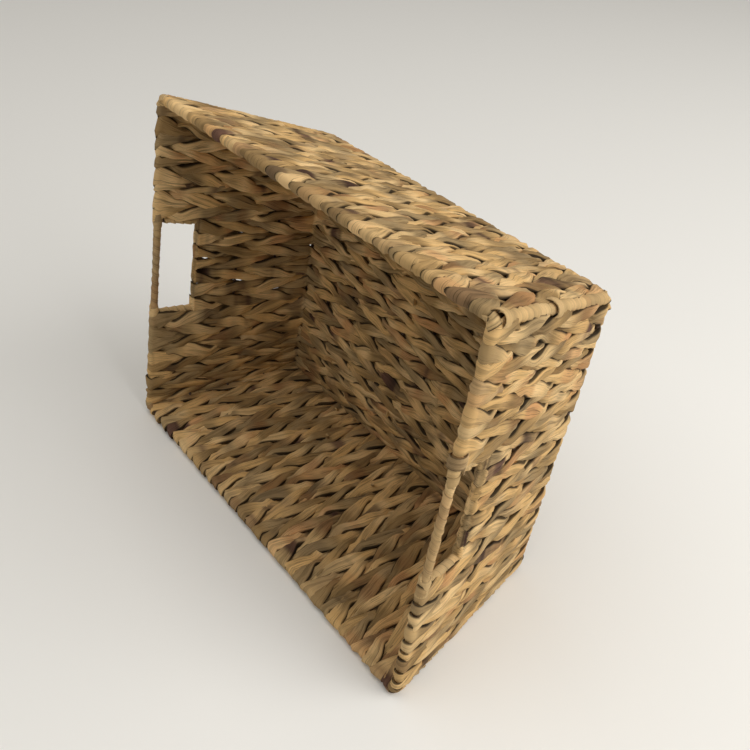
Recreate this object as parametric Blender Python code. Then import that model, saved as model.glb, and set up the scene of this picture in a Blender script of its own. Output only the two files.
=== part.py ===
"""A rectangular storage basket with two hand holes, twined from flat plant strands on a welded wire frame.

The basket stands upright on the XY plane with its mouth towards +Z. X runs along its long walls and Y along
its end walls, and the origin is under the middle of the base. Lengths are metres.

The frame is made of rods: two rings, corner posts, hoops in the walls, stakes in the base and legs beside
the hand holes. The weave is made of slabs with round edges that lie round the rods, and the bindings are
tubes wound on the rods that the weave leaves bare.
"""

from collections import namedtuple
from math import atan2, cos, hypot, pi, sin, sqrt

import bmesh
import bpy
from mathutils import Matrix, Vector

# The basket, measured between the centre lines of its rods
rim_length = 0.400
rim_width = 0.310
base_length = 0.336
base_width = 0.251
frame_height = 0.1525
rim_corner_radius = 0.006
base_corner_radius = 0.006

# Rods
rim_rod_diameter = 0.005
base_rod_diameter = 0.004
post_diameter = 0.0032
hoop_diameter = 0.0025
stake_diameter = 0.003
leg_diameter = 0.003
hoop_count = 3
base_stake_count = 8

# Weave: its thickness over the rods, and halfway between them, where its strands cross
weave_thickness = 0.010
waist_thickness = 0.0070
round_edge_share = 0.97
mat_edge_radius = 0.002

# Hand holes: the legs stand at their two ends, this far apart at the rim, and the top hoop is their sill
handle_leg_spacing = 0.094
sill_depth = 0.0385

# Bindings: the thickness of the strip on each rod
grip_wrap_thickness = 0.00095
lashing_thickness = 0.0022
lashing_inward_length = 0.006
leg_wrap_thickness = 0.0012
post_wrap_thickness = 0.0019
corner_wrap_thickness = 0.0017

# Between pieces that touch, and from a corner binding to the bent wraps at its ends and the hoops through it
seat_gap = 0.0003
bend_gap = 0.0008
notch_gap = 0.0009

# How far a corner wrap is drawn into the walls before it is trimmed to them
corner_wrap_overlap = 0.003

# Points nearer than this are one point
merge_distance = 0.00002

# Roundness
arc_steps = 5
edge_segments = 5
rod_resolution = 2
wrap_resolution = 3
smooth_angle = pi / 5

# Places that follow from the sizes above
half_thickness = weave_thickness / 2
base_z = half_thickness
rim_z = base_z + frame_height
half_rim = Vector((rim_length / 2, rim_width / 2))
half_base = Vector((base_length / 2, base_width / 2))
rim_inset = rim_corner_radius * (1 - 1 / sqrt(2))
base_inset = base_corner_radius * (1 - 1 / sqrt(2))
post_wrap_radius = post_diameter / 2 + seat_gap + post_wrap_thickness
leg_wrap_radius = leg_diameter / 2 + seat_gap + leg_wrap_thickness
lashing_radius = rim_rod_diameter / 2 + seat_gap + lashing_thickness
grip_radius = rim_rod_diameter / 2 + seat_gap + grip_wrap_thickness
rim_wrap_radius = rim_rod_diameter / 2 + seat_gap + corner_wrap_thickness
base_wrap_radius = base_rod_diameter / 2 + seat_gap + corner_wrap_thickness
leg_reach = handle_leg_spacing / 2
shoulder_start = leg_reach + leg_wrap_radius + seat_gap

# Colour, roughness and metallic value of each finish
looks = {
    "wire": ((0.09, 0.085, 0.08), 0.45, 1.0),
    "weave": ((0.52, 0.37, 0.19), 0.75, 0.0),
    "mat": ((0.40, 0.28, 0.14), 0.8, 0.0),
    "strip": ((0.62, 0.47, 0.26), 0.65, 0.0),
}

ends = {"left": -1, "right": 1}
sides = {"front": -1, "back": 1}
outward_turns = {"right": 0, "back": 1, "left": 2, "front": 3}

# A wall's matrix takes (along the rim, down the slant, outward) to the basket's space
Wall = namedtuple("Wall", "matrix half_rim half_base slant")


def clear_scene():
    for obj in list(bpy.data.objects):
        bpy.data.objects.remove(obj, do_unlink=True)


def new_collection(name, is_cutter):
    collection = bpy.data.collections.new(name)
    collection.hide_render = is_cutter
    bpy.context.scene.collection.children.link(collection)
    return collection


def finish(obj, look):
    """Gives the object its own plain material."""
    colour, roughness, metallic = looks[look]
    material = bpy.data.materials.new(obj.name + "_finish")
    material.use_nodes = True
    shader = material.node_tree.nodes["Principled BSDF"]
    shader.inputs["Base Color"].default_value = (*colour, 1.0)
    shader.inputs["Roughness"].default_value = roughness
    shader.inputs["Metallic"].default_value = metallic
    obj.data.materials.clear()
    obj.data.materials.append(material)


def place(obj, look=None):
    """Puts a finished piece in the basket's collection, or a cutter among the cutters."""
    if look:
        finish(obj, look)
        basket.objects.link(obj)
    else:
        obj.hide_render = True
        obj.display_type = "WIRE"
        cutters.objects.link(obj)
    return obj


def mix(low, high, share):
    return low + (high - low) * share


def level(share):
    """Half length, half width and height of the frame, from the rim (0) down to the base ring (1)."""
    half = half_rim.lerp(half_base, share)
    return half.x, half.y, mix(rim_z, base_z, share)


def rounded_rectangle(half_x, half_y, radius, height):
    """Points round a level rectangle with arcs at its corners."""
    points = []
    for quarter in range(4):
        middle = pi / 4 + quarter * pi / 2
        centre_x = (half_x - radius) * round(cos(middle) * sqrt(2))
        centre_y = (half_y - radius) * round(sin(middle) * sqrt(2))
        for step in range(arc_steps + 1):
            angle = quarter * pi / 2 + step / arc_steps * pi / 2
            points.append((centre_x + radius * cos(angle), centre_y + radius * sin(angle), height))
    return points


def tube_curve(name, paths, radius, closed, resolution):
    """A round tube along each path."""
    curve = bpy.data.curves.new(name, "CURVE")
    curve.dimensions = "3D"
    curve.bevel_depth = radius
    curve.bevel_resolution = resolution
    curve.use_fill_caps = not closed
    for path in paths:
        spline = curve.splines.new("POLY")
        spline.points.add(len(path) - 1)
        for point, place_of_point in zip(spline.points, path):
            point.co = (*place_of_point, 1.0)
        spline.use_cyclic_u = closed
    return bpy.data.objects.new(name, curve)


def as_mesh(curve_obj):
    """Turns a tube into a closed mesh, which can be cut and can cut."""
    name = curve_obj.name
    bpy.context.scene.collection.objects.link(curve_obj)
    graph = bpy.context.evaluated_depsgraph_get()
    mesh = bpy.data.meshes.new_from_object(curve_obj.evaluated_get(graph))
    bm = bmesh.new()
    bm.from_mesh(mesh)
    bmesh.ops.remove_doubles(bm, verts=bm.verts, dist=merge_distance)
    bm.to_mesh(mesh)
    bm.free()
    bpy.data.objects.remove(curve_obj, do_unlink=True)
    mesh.shade_smooth()
    mesh.set_sharp_from_angle(angle=smooth_angle)
    return bpy.data.objects.new(name, mesh)


def rod(name, path, diameter, closed=False):
    return place(tube_curve(name, [path], diameter / 2, closed, rod_resolution), "wire")


def bore(name, paths, diameter, closed=False, gap=seat_gap):
    """A cutter round some rods, larger than they are by the gap."""
    return place(as_mesh(tube_curve(name, paths, diameter / 2 + gap, closed, rod_resolution)))


def winding(name, path, radius):
    """A tube of wound strip along a path, still to be bored for its rod."""
    return place(as_mesh(tube_curve(name, [path], radius, False, wrap_resolution)), "strip")


def cut(obj, cutter_list):
    """Cuts a piece, then merges the double points that cuts through shared faces leave."""
    for cutter in cutter_list:
        modifier = obj.modifiers.new(cutter.name, "BOOLEAN")
        modifier.operation = "DIFFERENCE"
        modifier.object = cutter
    weld = obj.modifiers.new("merge_doubles", "WELD")
    weld.merge_threshold = merge_distance
    return obj


def wall_of(side):
    """The plane of a wall, with its origin on the rim rod's centre line."""
    turn = outward_turns[side] * pi / 2
    facing = Vector((round(cos(turn)), round(sin(turn)), 0))
    across, along = (0, 1) if side in ends else (1, 0)
    lean = half_rim[across] - half_base[across]
    slant = hypot(lean, frame_height)
    up = Vector((0, 0, 1))
    down = (-lean * facing - frame_height * up) / slant
    outward = (frame_height * facing - lean * up) / slant
    matrix = Matrix((down.cross(outward), down, outward)).transposed().to_4x4()
    matrix.translation = half_rim[across] * facing + rim_z * up
    return Wall(matrix, half_rim[along], half_base[along], slant)


def weave_end(wall, depth):
    """How far along a wall its weave reaches at a depth: to the corner binding and the next wall's weave."""
    share = depth / wall.slant
    lean = cos(atan2(wall.half_rim - wall.half_base, wall.slant))
    to_binding = mix(rim_inset, base_inset, share) + (post_wrap_radius + seat_gap) / lean
    to_next_wall = half_thickness / lean + 2 * seat_gap
    return mix(wall.half_rim, wall.half_base, share) - max(to_binding, to_next_wall)


def row_line(wall, at_rim, depth):
    """Where a woven row that starts at a place on the rim lies at a depth, as the rows draw in."""
    return at_rim * mix(1.0, wall.half_base / wall.half_rim, depth / wall.slant)


def toward(wall, side):
    """The sign of the wall's own along axis that points to the front or the back."""
    return round(wall.matrix.col[0].y) * sides[side]


def draw_in(bm, run, rods, faces=(1, -1)):
    """Hollows the faces of a woven slab halfway between its rods, whose places along its run are in order."""
    for rod_place in rods[1:-1]:
        geometry = bm.verts[:] + bm.edges[:] + bm.faces[:]
        bmesh.ops.bisect_plane(bm, geom=geometry, plane_co=run * rod_place, plane_no=run)
    for before, after in zip(rods, rods[1:]):
        geometry = bm.verts[:] + bm.edges[:] + bm.faces[:]
        halfway = run * (before + after) / 2
        waist = bmesh.ops.bisect_plane(bm, geom=geometry, plane_co=halfway, plane_no=run)["geom_cut"]
        for vert in (element for element in waist if isinstance(element, bmesh.types.BMVert)):
            face = 1 if vert.co.z > 0 else -1
            if face in faces:
                vert.co.z -= face * (weave_thickness - waist_thickness) / 2


def woven_slab(name, wall, low_end, high_end, top, grow=0.0):
    """A stretch of woven wall whose top and bottom edges are rolled round the rods in them.

    low_end and high_end give its two ends along the wall at a depth, and top is the depth of its top rod.
    A stretch that is grown, to cut a clearance for the wall, isn't drawn in between its rods.
    """
    bm = bmesh.new()
    bmesh.ops.create_cube(bm, size=1)
    rolled = [edge for edge in bm.edges if edge.verts[0].co.yz == edge.verts[1].co.yz]
    for vert in bm.verts:
        lower = vert.co.y > 0
        depth = wall.slant + half_thickness if lower else top - half_thickness
        reach = high_end(depth) + grow if vert.co.x > 0 else low_end(depth) - grow
        edge_depth = depth + grow if lower else depth - grow
        vert.co = (reach, edge_depth, (half_thickness + grow) * (1 if vert.co.z > 0 else -1))
    roll = (half_thickness + grow) * round_edge_share
    bmesh.ops.bevel(bm, geom=rolled, offset=roll, segments=edge_segments, profile=0.5, affect="EDGES")
    if not grow:
        hoop_depths = [share * wall.slant for share in hoop_shares()]
        lower_rods = [depth for depth in hoop_depths if depth > top + merge_distance]
        draw_in(bm, Vector((0, 1, 0)), [top, *lower_rods, wall.slant])
    mesh = bpy.data.meshes.new(name)
    bm.to_mesh(mesh)
    bm.free()
    mesh.shade_smooth()
    mesh.set_sharp_from_angle(angle=smooth_angle)
    obj = bpy.data.objects.new(name, mesh)
    obj.matrix_world = wall.matrix
    return obj


def full_wall(name, side, grow=0.0):
    """A woven wall from corner to corner."""
    wall = wall_of(side)
    return woven_slab(
        name,
        wall,
        lambda depth: -weave_end(wall, depth),
        lambda depth: weave_end(wall, depth),
        0.0,
        grow,
    )


def on_wall(wall, along, depth):
    return wall.matrix @ Vector((along, depth, 0))


def corner_point(end, side, share):
    """A point on a corner post's centre line."""
    half_x, half_y, height = level(share)
    inset = mix(rim_inset, base_inset, share)
    return Vector((ends[end] * (half_x - inset), sides[side] * (half_y - inset), height))


def post_line(end, side, above, below):
    """A stretch of a corner post's centre line, ending short of the two rings' centre lines."""
    top = corner_point(end, side, 0.0)
    bottom = corner_point(end, side, 1.0)
    run = (bottom - top).normalized()
    return [top + run * above, bottom - run * below]


def corner_arc(end, side, share, radius):
    """The stretch of a ring that goes round one of its corners, and on into the woven walls beside it."""
    half_x, half_y, height = level(share)
    centre = Vector((ends[end] * (half_x - radius), sides[side] * (half_y - radius), height))
    points = []
    for step in range(arc_steps + 1):
        angle = step / arc_steps * pi / 2
        points.append(centre + Vector((ends[end] * cos(angle), sides[side] * sin(angle), 0)) * radius)
    points.insert(0, points[0] - Vector((0, sides[side] * corner_wrap_overlap, 0)))
    points.append(points[-1] - Vector((ends[end] * corner_wrap_overlap, 0, 0)))
    return points


def hoop_shares():
    """How far down the frame each hoop lies: the first at the sill, the rest evenly above the base ring."""
    first = sill_depth / wall_of("left").slant
    return [mix(first, 1.0, place_in_row / hoop_count) for place_in_row in range(hoop_count)]


def hoop_path(share):
    """A hoop lies in the middle of the weave, and its corners are bent to pass inside the posts."""
    half_x, half_y, height = level(share)
    diagonal_lean = sum(half_rim - half_base) / sqrt(2)
    lean = cos(atan2(diagonal_lean, frame_height))
    to_post = mix(rim_inset, base_inset, share) * sqrt(2)
    past_post = (post_diameter / 2 + hoop_diameter / 2 + seat_gap) / lean
    radius = (to_post + past_post) / (sqrt(2) - 1)
    return rounded_rectangle(half_x, half_y, radius, height)


def stake_places():
    """Where the base stakes lie, evenly from the left side of the base ring to the right."""
    pitch = 2 * half_base.x / (base_stake_count + 1)
    return [(index + 1) * pitch - half_base.x for index in range(base_stake_count)]


def stake_path(x, reach):
    """The centre line of a base stake, which runs from front to back."""
    return [(x, -reach, base_z), (x, reach, base_z)]


def leg_path(end, side, above, below):
    """A handle leg's centre line, from a depth under the rim rod to a height over the sill hoop."""
    wall = wall_of(end)
    at_rim = toward(wall, side) * leg_reach
    depths = (above, sill_depth - below)
    return [on_wall(wall, row_line(wall, at_rim, depth), depth) for depth in depths]


def make_rings():
    rim_path = rounded_rectangle(*level(0.0)[:2], rim_corner_radius, rim_z)
    base_path = rounded_rectangle(*level(1.0)[:2], base_corner_radius, base_z)
    rod("rim_ring", rim_path, rim_rod_diameter, closed=True)
    rod("base_ring", base_path, base_rod_diameter, closed=True)
    bores["rim"] = bore("rim_bore", [rim_path], rim_rod_diameter, closed=True)
    bores["base"] = bore("base_bore", [base_path], base_rod_diameter, closed=True)


def make_hoops():
    paths = [hoop_path(share) for share in hoop_shares()]
    for number, path in enumerate(paths, start=1):
        rod(f"wall_hoop_{number}", path, hoop_diameter, closed=True)
    bores["hoops"] = bore("hoop_bores", paths, hoop_diameter, closed=True)
    bores["notches"] = bore("hoop_notches", paths, hoop_diameter, closed=True, gap=notch_gap)


def make_posts():
    rim_reach = rim_rod_diameter / 2 + seat_gap
    base_reach = base_rod_diameter / 2 + seat_gap
    paths = []
    for end in ends:
        for side in sides:
            rod(f"corner_post_{end}_{side}", post_line(end, side, rim_reach, base_reach), post_diameter)
            paths.append(post_line(end, side, 0.0, 0.0))
    bores["posts"] = bore("post_bores", paths, post_diameter)


def make_stakes():
    reach = half_base.y - base_rod_diameter / 2 - seat_gap
    for number, x in enumerate(stake_places(), start=1):
        rod(f"base_stake_{number:02d}", stake_path(x, reach), stake_diameter)
    paths = [stake_path(x, half_base.y) for x in stake_places()]
    bores["stakes"] = bore("stake_bores", paths, stake_diameter)


def make_legs():
    rim_reach = rim_rod_diameter / 2 + seat_gap
    hoop_reach = hoop_diameter / 2 + seat_gap
    paths = []
    for end in ends:
        for side in sides:
            rod(f"handle_leg_{end}_{side}", leg_path(end, side, rim_reach, hoop_reach), leg_diameter)
            paths.append(leg_path(end, side, 0.0, 0.0))
    bores["legs"] = bore("leg_bores", paths, leg_diameter)


def make_long_walls():
    for side in sides:
        wall = place(full_wall(f"weave_{side}", side), "weave")
        cut(wall, [bores["rim"], bores["hoops"], bores["base"], bores["stakes"]])


def make_end_walls():
    """Each end wall is woven beside its hand hole from the rim down, and under it from the sill down."""
    for end in ends:
        wall = wall_of(end)
        half_sill = leg_reach + leg_wrap_radius
        sill = woven_slab(
            f"weave_{end}_under_hole",
            wall,
            lambda depth: -row_line(wall, half_sill, depth),
            lambda depth: row_line(wall, half_sill, depth),
            sill_depth,
        )
        cut(place(sill, "weave"), [bores["hoops"], bores["base"], bores["legs"]])
        for side in sides:
            if toward(wall, side) > 0:
                low = lambda depth: row_line(wall, shoulder_start, depth)
                high = lambda depth: weave_end(wall, depth)
            else:
                low = lambda depth: -weave_end(wall, depth)
                high = lambda depth: -row_line(wall, shoulder_start, depth)
            shoulder = woven_slab(f"weave_{end}_{side}", wall, low, high, 0.0)
            cut(place(shoulder, "weave"), [bores["rim"], bores["hoops"], bores["base"]])


def make_base_mat():
    """The woven bottom, on its stakes inside the base ring. Only its upper face is hollowed."""
    half_x = half_base.x - half_thickness - seat_gap
    half_y = half_base.y - half_thickness - seat_gap
    bm = bmesh.new()
    bmesh.ops.create_cube(bm, size=2)
    bmesh.ops.scale(bm, vec=(half_x, half_y, half_thickness), verts=bm.verts)
    bmesh.ops.bevel(bm, geom=bm.edges, offset=mat_edge_radius, segments=2, profile=0.5, affect="EDGES")
    draw_in(bm, Vector((1, 0, 0)), [-half_base.x, *stake_places(), half_base.x], faces=(1,))
    mesh = bpy.data.meshes.new("weave_base")
    bm.to_mesh(mesh)
    bm.free()
    mat = place(bpy.data.objects.new("weave_base", mesh), "mat")
    mat.location.z = base_z
    cut(mat, [bores["stakes"]])


def make_corner_bindings():
    for end in ends:
        for side in sides:
            line = post_line(end, side, rim_wrap_radius + bend_gap, base_wrap_radius + bend_gap)
            binding = winding(f"corner_binding_{end}_{side}", line, post_wrap_radius)
            cut(binding, [bores["posts"], bores["notches"]])


def make_corner_wraps():
    """The turns round the rings' corners, trimmed to the woven walls beside them."""
    clearances = {}
    for side in outward_turns:
        clearances[side] = place(full_wall(f"{side}_clearance", side, seat_gap))
    for end in ends:
        for side in sides:
            rim_arc = corner_arc(end, side, 0.0, rim_corner_radius)
            base_arc = corner_arc(end, side, 1.0, base_corner_radius)
            rim_wrap = winding(f"rim_corner_wrap_{end}_{side}", rim_arc, rim_wrap_radius)
            base_wrap = winding(f"base_corner_wrap_{end}_{side}", base_arc, base_wrap_radius)
            cut(rim_wrap, [bores["rim"], bores["posts"], clearances[end], clearances[side]])
            cut(base_wrap, [bores["base"], bores["posts"], clearances[end], clearances[side]])


def make_handles():
    """The wound grip over each hand hole, its two lashings and the two wound legs."""
    grip_reach = leg_reach - lashing_inward_length - seat_gap
    lashing_ends = (leg_reach - lashing_inward_length, shoulder_start - seat_gap)
    for end in ends:
        wall = wall_of(end)
        grip_line = [on_wall(wall, -grip_reach, 0.0), on_wall(wall, grip_reach, 0.0)]
        cut(winding(f"handle_grip_{end}", grip_line, grip_radius), [bores["rim"]])
        for side in sides:
            line = [on_wall(wall, toward(wall, side) * reach, 0.0) for reach in lashing_ends]
            lashing = winding(f"grip_lashing_{end}_{side}", line, lashing_radius)
            cut(lashing, [bores["rim"], bores["legs"]])
            leg_line = leg_path(end, side, lashing_radius + seat_gap, half_thickness + seat_gap)
            cut(winding(f"leg_wrap_{end}_{side}", leg_line, leg_wrap_radius), [bores["legs"]])


clear_scene()
basket = new_collection("woven_basket", False)
cutters = new_collection("cutters", True)
bores = {}
make_rings()
make_hoops()
make_posts()
make_stakes()
make_legs()
make_long_walls()
make_end_walls()
make_base_mat()
make_corner_bindings()
make_corner_wraps()
make_handles()
bpy.context.view_layer.update()
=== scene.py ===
"""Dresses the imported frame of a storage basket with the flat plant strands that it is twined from.

Each row of the weave is a pair of strands that twist round each other from wire to wire. A row's guide line
follows the wires, and the "flat_strand" node tree grows both strands along it. The same tree winds the thin
strips round the grips, legs and corner posts. Lengths are metres, in the frame's own space: the basket
stands on its base with its mouth towards +Z, and the stage is turned to it, so that it lies on its back wall
as it does in the photograph.
"""

from collections import namedtuple
from itertools import count

import bpy
import numpy as np
from bpy.props import FloatProperty, FloatVectorProperty, IntProperty, PointerProperty
from mathutils import Matrix, Vector


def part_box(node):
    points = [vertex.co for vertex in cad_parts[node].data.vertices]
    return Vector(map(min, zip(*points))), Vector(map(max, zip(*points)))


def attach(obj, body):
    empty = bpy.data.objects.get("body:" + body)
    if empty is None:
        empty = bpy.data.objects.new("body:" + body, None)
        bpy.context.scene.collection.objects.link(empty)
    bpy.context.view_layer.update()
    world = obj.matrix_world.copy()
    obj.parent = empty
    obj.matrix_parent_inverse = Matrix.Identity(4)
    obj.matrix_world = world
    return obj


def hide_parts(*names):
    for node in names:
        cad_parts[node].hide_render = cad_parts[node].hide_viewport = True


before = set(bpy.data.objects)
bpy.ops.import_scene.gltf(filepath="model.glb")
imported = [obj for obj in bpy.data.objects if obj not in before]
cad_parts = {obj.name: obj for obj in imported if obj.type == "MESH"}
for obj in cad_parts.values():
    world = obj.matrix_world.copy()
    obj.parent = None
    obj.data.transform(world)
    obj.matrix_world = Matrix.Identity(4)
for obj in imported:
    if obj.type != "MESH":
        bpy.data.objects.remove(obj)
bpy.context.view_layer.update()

bl_info = {
    "name": "Twined storage basket",
    "version": (1, 0, 0),
    "blender": (4, 5, 0),
    "location": "3D View > Sidebar > Basket",
    "description": "Twines a storage basket from flat plant strands round a wire frame",
    "category": "Add Mesh",
}

# Places of the frame's wires, between their centre lines
rim_low, rim_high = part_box("rim_ring")
base_low, base_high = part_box("base_ring")
rim_rod = (rim_high.z - rim_low.z) / 2
base_rod = (base_high.z - base_low.z) / 2
rim_z = rim_high.z - rim_rod
base_z = base_high.z - base_rod
half_rim = Vector((rim_high.x - rim_rod, rim_high.y - rim_rod))
half_base = Vector((base_high.x - base_rod, base_high.y - base_rod))
hoop_names = sorted(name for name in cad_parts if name.startswith("wall_hoop"))
hoop_zs = [sum(box.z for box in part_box(name)) / 2 for name in hoop_names]
hoop_shares = [(rim_z - z) / (rim_z - base_z) for z in hoop_zs]
stake_names = sorted(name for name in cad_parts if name.startswith("base_stake"))
stake_xs = [sum(box.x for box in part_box(name)) / 2 for name in stake_names]

ends = {"left": -1, "right": 1}
sides = {"front": -1, "back": 1}
y_axis = np.array((0.0, 1.0, 0.0))
z_axis = np.array((0.0, 0.0, 1.0))

# The camera that took the photograph: where it stood, its axes and its focal length in pixels
camera_place = Vector((-0.4710, -0.3648, 0.4995))
camera_right = Vector((-0.60729, -0.16613, -0.77692))
camera_down = Vector((-0.49877, 0.84089, 0.21007))
camera_forward = Vector((0.61841, 0.51507, -0.59352))
focal_pixels = 873.03
image_pixels = 750

# One guide line of a strand. face points from the wires to the strand, side lies across it, phase is its
# turn about its partner, sense the way that it turns, tilt its lean and swell a share of its full width.
Line = namedtuple("Line", "points face side phase sense tilt swell leaf closed")

# A row of the weave: the corners of its path, how far along the path each wire is, the way that it twists,
# the direction across it, its number, and the share of a usual row's width that it takes.
Row = namedtuple("Row", "corners knots sense side number girth")


# Settings


def length_field(name, default, description):
    return FloatProperty(name=name, description=description, default=default, unit="LENGTH")


def angle_field(name, default, description):
    return FloatProperty(name=name, description=description, default=default, subtype="ANGLE")


def number_field(name, default, description):
    return FloatProperty(name=name, description=description, default=default)


def count_field(name, default, description):
    return IntProperty(name=name, description=description, default=default)


def colour_field(name, default, description):
    return FloatVectorProperty(name=name, description=description, default=default, subtype="COLOR", size=3)


class StrandSettings(bpy.types.PropertyGroup):
    face_width: length_field("Strand width", 0.0138, "Width of a strand where it crosses a wire")
    crossing_width: length_field("Crossing width", 0.0086, "Width of a strand where it passes its partner")
    face_thickness: length_field("Thickness", 0.0034, "Thickness of a strand where it crosses a wire")
    crossing_thickness: length_field("Crossing thickness", 0.0090, "Thickness beside the strand's partner")
    press: length_field("Press", 0.0043, "Height above the wires at which the strands are pressed flat")
    depth: length_field("Depth", 0.0032, "Distance from the wires to the middle of a strand")
    linger: number_field("Linger", 0.85, "The lower, the longer a strand stays on top of its row")
    swing: length_field("Swing", 0.0044, "How far a strand swings to each side of its row")
    roll: angle_field("Roll", 0.34, "How far a strand rolls over as it passes its partner")
    shingle: angle_field("Shingle", 0.05, "Tilt of a strand's face, which lays each row over the next")
    cupping: length_field("Cupping", 0.0009, "How far a strand's edges bend in towards the wires")
    wander: length_field("Wander", 0.0034, "How far a strand strays from its place")
    edge_sharpness: number_field("Edge sharpness", 1.0, "0 for round edges, 1 for edges as thin as a leaf's")
    step: length_field("Step", 0.0019, "Distance between the rings of points along a strand")
    long_wall_rows: count_field("Long wall rows", 32, "Rows in each long wall")
    shoulder_rows: count_field("Shoulder rows", 9, "Rows in an end wall on each side of its hand hole")
    sill_rows: count_field("Sill rows", 7, "Rows under each hand hole")
    row_variation: number_field("Row variation", 0.26, "How much wider or narrower than usual a row can be")
    stagger: length_field("Stagger", 0.0042, "How far from its wire a strand can cross, along its row")
    seed: count_field("Seed", 7, "Changes how the strands vary")


class StripSettings(bpy.types.PropertyGroup):
    grip_width: length_field("Grip strip width", 0.0105, "Width of the strip round a grip")
    binding_width: length_field("Binding strip width", 0.0088, "Width of the strip round a post or a leg")
    thickness: length_field("Strip thickness", 0.0012, "Thickness of a wound strip")
    overlap: number_field("Overlap", 0.14, "Share of its width that a turn lays over the last")
    loose_width: length_field("Loose strip width", 0.0065, "Width of the loose turns at a corner")
    lashing_reach: length_field("Lashing reach", 0.0055, "How far a lashing runs past its solid on the rim")
    corner_radius: length_field("Corner radius", 0.006, "Radius of the rim's and the base's wire at a corner")


class ColourSettings(bpy.types.PropertyGroup):
    straw: colour_field("Straw", (0.635, 0.408, 0.170), "The usual colour of a dry strand")
    pale: colour_field("Pale", (0.74, 0.518, 0.254), "The bleached strands")
    tan: colour_field("Tan", (0.52, 0.26, 0.11), "The orange strands")
    olive: colour_field("Olive", (0.385, 0.274, 0.153), "The greenish strands")
    plum: colour_field("Plum", (0.13, 0.068, 0.045), "The brown and purple stretches")
    grey: colour_field("Grey", (0.33, 0.22, 0.12), "The weathered strip beside a hand hole")
    floor: colour_field("Floor", (0.87, 0.875, 0.86), "The floor it lies on")


class StageSettings(bpy.types.PropertyGroup):
    key_power: number_field("Key light", 42.0, "Power of the light from the left")
    ceiling_power: number_field("Ceiling light", 90.0, "Power of the large soft light overhead")
    bounce_power: number_field("Bounce light", 1.3, "Power of the low light in front of the mouth")
    fill_strength: number_field("Fill", 0.13, "Strength of the light all round")
    floor_gap: length_field("Floor gap", 0.0056, "From the back wall's wires to the floor")


def strand_settings():
    return bpy.context.scene.basket_strands


def strip_settings():
    return bpy.context.scene.basket_strips


def colour_settings():
    return bpy.context.scene.basket_colours


def stage_settings():
    return bpy.context.scene.basket_stage


def mix(low, high, share):
    return low + (high - low) * share


def unit(vectors):
    return vectors / np.linalg.norm(vectors, axis=-1, keepdims=True)


def squared(directions, tangents):
    """The directions, made square to the tangents."""
    return unit(directions - (directions * tangents).sum(1, keepdims=True) * tangents)


def distances(points):
    """How far along a line each of its points is."""
    return np.concatenate([[0.0], np.cumsum(np.linalg.norm(np.diff(points, axis=0), axis=1))])


# Node trees


def fill(tree, node, wires):
    """Fills a node's inputs with values or with other nodes' outputs."""
    for key, value in wires.items():
        if isinstance(value, bpy.types.NodeSocket):
            tree.links.new(value, node.inputs[key])
        else:
            node.inputs[key].default_value = value


def add_node(tree, kind, wires=None, **options):
    """Adds a node, sets its options and fills its inputs."""
    node = tree.nodes.new(kind)
    for key, value in options.items():
        setattr(node, key, value)
    fill(tree, node, wires or {})
    return node


def maths(tree, operation, *values):
    return add_node(tree, "ShaderNodeMath", dict(enumerate(values)), operation=operation).outputs[0]


def times(tree, first, second):
    return maths(tree, "MULTIPLY", first, second)


def signed_power(tree, value, power):
    """The power of a value's size, with the value's sign."""
    size = maths(tree, "POWER", maths(tree, "ABSOLUTE", value), power)
    return times(tree, size, maths(tree, "SIGN", value))


def vector_maths(tree, operation, *values):
    node = add_node(tree, "ShaderNodeVectorMath", dict(enumerate(values)), operation=operation)
    return node.outputs["Value" if operation == "DOT_PRODUCT" else "Vector"]


def scaled(tree, vector, factor):
    node = add_node(tree, "ShaderNodeVectorMath", {"Vector": vector, "Scale": factor}, operation="SCALE")
    return node.outputs["Vector"]


def summed(tree, first, *others):
    total = first
    for other in others:
        total = vector_maths(tree, "ADD", total, other)
    return total


def split_up(tree, vector):
    return add_node(tree, "ShaderNodeSeparateXYZ", {"Vector": vector}).outputs


def blended(tree, factor, low, high):
    return add_node(tree, "ShaderNodeMix", {"Factor": factor, "A": low, "B": high}).outputs["Result"]


def ramped(tree, value, low, high, start=0.0, end=1.0):
    """A value that runs smoothly from start to end while the given one runs from low to high."""
    limits = {"From Min": low, "From Max": high, "To Min": start, "To Max": end}
    wires = {"Value": value, **limits}
    return add_node(tree, "ShaderNodeMapRange", wires, interpolation_type="SMOOTHSTEP").outputs["Result"]


def noise(tree, spot, scale, detail, output="Fac", roughness=0.5):
    wires = {"Vector": spot, "Scale": scale, "Detail": detail, "Roughness": roughness}
    return add_node(tree, "ShaderNodeTexNoise", wires).outputs[output]


def tinted(tree, factor, low, high, blend_type="MIX"):
    node = add_node(tree, "ShaderNodeMix", data_type="RGBA", blend_type=blend_type)
    places = {socket.name: place for place, socket in enumerate(node.inputs) if socket.enabled}
    fill(tree, node, {places["Factor"]: factor, places["A"]: low, places["B"]: high})
    return next(socket for socket in node.outputs if socket.enabled)


def read_attribute(tree, name, kind="FLOAT"):
    node = add_node(tree, "GeometryNodeInputNamedAttribute", {"Name": name}, data_type=kind)
    return node.outputs["Attribute"]


def store(tree, geometry, name, value, kind="FLOAT_VECTOR"):
    wires = {"Geometry": geometry, "Name": name, "Value": value}
    options = {"data_type": kind, "domain": "POINT"}
    return add_node(tree, "GeometryNodeStoreNamedAttribute", wires, **options).outputs["Geometry"]


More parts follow.
